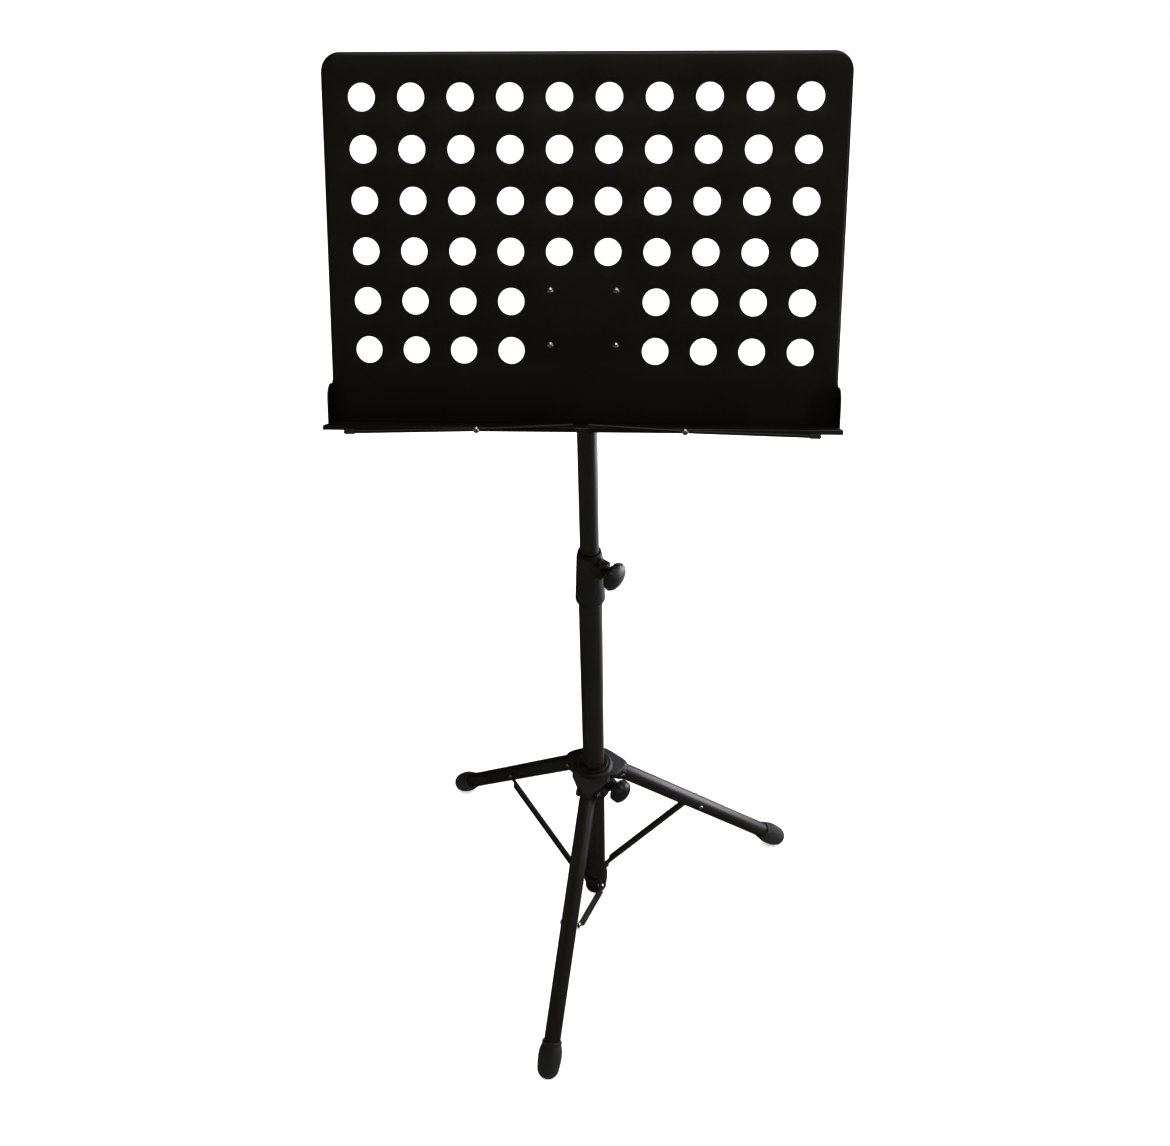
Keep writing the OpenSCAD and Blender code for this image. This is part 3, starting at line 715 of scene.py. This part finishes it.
def foot(name):
    """Rubber boot with a groove behind its mouth and a sole worn flat on the floor."""
    end = leg_length(name)
    start = end - BOOT_AT
    profile = [(LEG_R - 0.05 * MM, start + 6 * MM), (LEG_R + 0.1 * MM, start + 0.6 * MM),
               (LEG_R + 0.6 * MM, start + 0.1 * MM)]
    profile += smooth_line([(r * MM, start + along * MM) for r, along in BOOT_SHAPE], 3)
    profile += [(FOOT_R * math.cos(t), end + FOOT_R * math.sin(t))
                for t in (math.pi / 2 * k / 20 for k in range(1, 20))]
    profile.append((0, end + FOOT_R))
    groove_at, groove_w, groove_depth = start + 6.2 * MM, 0.55 * MM, 0.28 * MM

    def grooved(a, r, z):
        return r - groove_depth * math.exp(-((z - groove_at) / groove_w) ** 2)

    boot = lathe(f"boot_{name}", profile, down_leg(name), 72, grooved, 60)
    for v in boot.data.vertices:
        v.co.z = max(v.co.z, 0.0)
    finish_piece(boot, f"leg_{name}", "black_rubber", f"foot_{name}")


def leg(name):
    section = tube_profile(LEG_R, LEG_IN, LEG_FROM, leg_length(name) - 4 * MM)
    tube = lathe(f"leg_pipe_{name}", section, down_leg(name), 64)
    finish_piece(tube, f"leg_{name}", "tube_paint", f"leg_tube_{name}")
    foot(name)
    fitting = softened(f"leg_plug_{name}", f"leg_fitting_{name}", 0.6 * MM, 3)
    finish_piece(fitting, f"leg_{name}", "moulded_plastic", f"leg_fitting_{name}")


def strut(name):
    """Pressed channel with flat rounded ends."""
    matrix, length = strut_matrix(name)
    half_w, end_r, web, lip, lip_t = 4.5 * MM, 5 * MM, 1.8 * MM, 4.5 * MM, 1.5 * MM
    ends = [-math.cos(math.pi / 2 * k / 8) * end_r * 0.995 for k in range(9)]
    flat = [1 * MM + 2 * MM * k for k in range(4)] + [8 * MM + 1 * MM * k for k in range(9)]
    middle = [20 * MM + (length - 40 * MM) * k / 10 for k in range(11)]
    left = ends + flat
    stations = left + middle + [length - x for x in reversed(left)]
    bm = bmesh.new()
    rings = []
    for x in stations:
        depth = min(x, length - x)
        if depth < 0:
            w = math.sqrt(max(end_r ** 2 - depth ** 2, 0.05 * MM ** 2))
        else:
            w = end_r - (end_r - half_w) * min(1, depth / (4 * MM))
        rise = 0.05 * MM + (lip - 0.05 * MM) * smooth_step((depth - 9 * MM) / (6 * MM))
        y0, y1 = STRUT_Y, STRUT_Y + web
        top = y1 + rise
        w_in = max(w - lip_t, w * 0.4)
        c = min(0.7 * MM, w * 0.3)
        section = [(y0, -w + c), (y0, w - c), (y0 + c * 0.3, w - c * 0.3), (y0 + c, w)]
        section += [(top - 0.3 * MM, w), (top, w - 0.3 * MM * w / half_w), (top, w_in + 0.2 * MM * w / half_w),
                    (top - min(0.2 * MM, rise * 0.5), w_in), (y1 + 0.01 * MM, w_in - 0.02 * MM)]
        section += [(y, -z) for y, z in reversed(section[4:])]
        section += [(y0 + c, -w), (y0 + c * 0.3, -w + c * 0.3)]
        rings.append([bm.verts.new((x, y, z)) for y, z in section])
    bridge(bm, rings)
    finish_piece(to_object(f"brace_{name}", bm, matrix, 50), f"strut_{name}", "tube_paint", f"strut_{name}")


# ---------------------------------------------------------------- scene
def camera():
    data = bpy.data.cameras.new("camera")
    data.sensor_width = 36
    data.lens = 36.81
    obj = bpy.data.objects.new("camera", data)
    bpy.context.scene.collection.objects.link(obj)
    yaw, pitch, roll = (math.radians(a) for a in (3.375, -40.909, 1.326))
    turn = Matrix.Rotation(yaw, 4, "Z") @ Matrix.Rotation(pitch, 4, "X") @ Matrix.Rotation(roll, 4, "Y")
    level = Matrix.Rotation(math.pi / 2, 4, "X")
    obj.matrix_world = Matrix.Translation((0.0562, -1.0485, 1.5415)) @ turn @ level
    bpy.context.scene.camera = obj


def area_light(name, place, target, size, power, colour=(1, 1, 1), only=None):
    data = bpy.data.lights.new(name, "AREA")
    data.shape = "RECTANGLE"
    data.size, data.size_y = size
    data.energy = power
    data.color = colour
    obj = bpy.data.objects.new(name, data)
    obj.location = place
    obj.rotation_mode = "QUATERNION"
    obj.rotation_quaternion = (Vector(target) - Vector(place)).to_track_quat("-Z", "Y")
    obj.visible_camera = False
    bpy.context.scene.collection.objects.link(obj)
    if only is not None:
        receivers = bpy.data.collections.new(name + "_receivers")
        receivers.objects.link(only)
        obj.light_linking.receiver_collection = receivers


def studio():
    """Pale floor that only its own light reaches, and windows, walls and a ceiling panel round the stand."""
    bm = bmesh.new()
    bmesh.ops.create_grid(bm, x_segments=1, y_segments=1, size=4)
    floor = to_object("floor", bm)
    material, _, _, shader, _ = new_material("floor")
    shader.inputs["Base Color"].default_value = (0.93, 0.93, 0.93, 1)
    shader.inputs["Roughness"].default_value = 0.9
    shader.inputs["Specular IOR Level"].default_value = 0.1
    floor.data.materials.append(material)
    floor.visible_glossy = False
    world = bpy.data.worlds.new("studio")
    world.use_nodes = True
    world.node_tree.nodes["Background"].inputs["Color"].default_value = (1, 1, 1, 1)
    world.node_tree.nodes["Background"].inputs["Strength"].default_value = 1.0
    world.cycles_visibility.diffuse = False
    world.cycles_visibility.glossy = False
    bpy.context.scene.world = world
    bpy.context.scene.view_settings.view_transform = "Standard"
    area_light("floor_light", (0, 0, 5), (0, 0, 0), (12, 12), 1500, only=floor)
    area_light("window", (1.9, -1.1, 1.6), (0.1, 0, 0.7), (0.35, 0.45), 7, (0.96, 0.98, 1.0))
    area_light("back_window", (1.3, 2.0, 2.0), (0, 0, 0.4), (1.1, 1.1), 12, (0.93, 0.97, 1.0))
    area_light("low_card", (0.7, 0.9, 0.012), (0.7, 0.9, 1.0), (1.2, 1.4), 4, (0.95, 0.95, 1.0))
    area_light("right_wall", (1.3, 0.6, 0.25), (0.1, 0.06, 0.2), (1.1, 0.5), 20, (0.93, 0.92, 1.0))
    area_light("left_wall", (-1.8, -0.5, 0.5), (0, 0, 0.3), (1.4, 1.0), 1.3, (1.0, 0.92, 0.72))
    area_light("overhead", (0.1, -0.1, 2.9), (0.1, -0.1, 0.5), (1.4, 1.4), 19, (1.0, 0.98, 0.93))
    area_light("room", (0.3, -3.4, 3.2), (0, 0, 0.6), (8.0, 6.0), 15, (1.0, 0.92, 0.68))


camera()
studio()
finish_piece(desk_sheet(), "desk", "desk_paint", "desk_panel")
finish_piece(shelf(), "desk", "desk_paint", "shelf_tray")
page_arm(False)
page_arm(True)
round_pieces()
moulded_pieces()
knob("collar", start=28.3 * MM, height=18 * MM, grip_r=17.5 * MM, stem_r=6.5 * MM, bore_r=3 * MM,
     rim=7 * MM, crown=5 * MM)
knob("hub", start=35.3 * MM, height=24 * MM, grip_r=16 * MM, stem_r=6.5 * MM, bore_r=3 * MM,
     rim=7 * MM, crown=6 * MM)
knob("tilt", start=18.4 * MM, height=24 * MM, grip_r=17 * MM, stem_r=9 * MM, bore_r=4.06 * MM,
     rim=10 * MM, crown=4 * MM)
for name in LEGS:
    leg(name)
    strut(name)
shown_slots = {s["node"]: s["material_slot"] for s in frame["record"]["subparts"]}
for node, obj in frame["nodes"].items():
    obj.data.materials.clear()
    obj.data.materials.append(MATERIALS[shown_slots[node]])
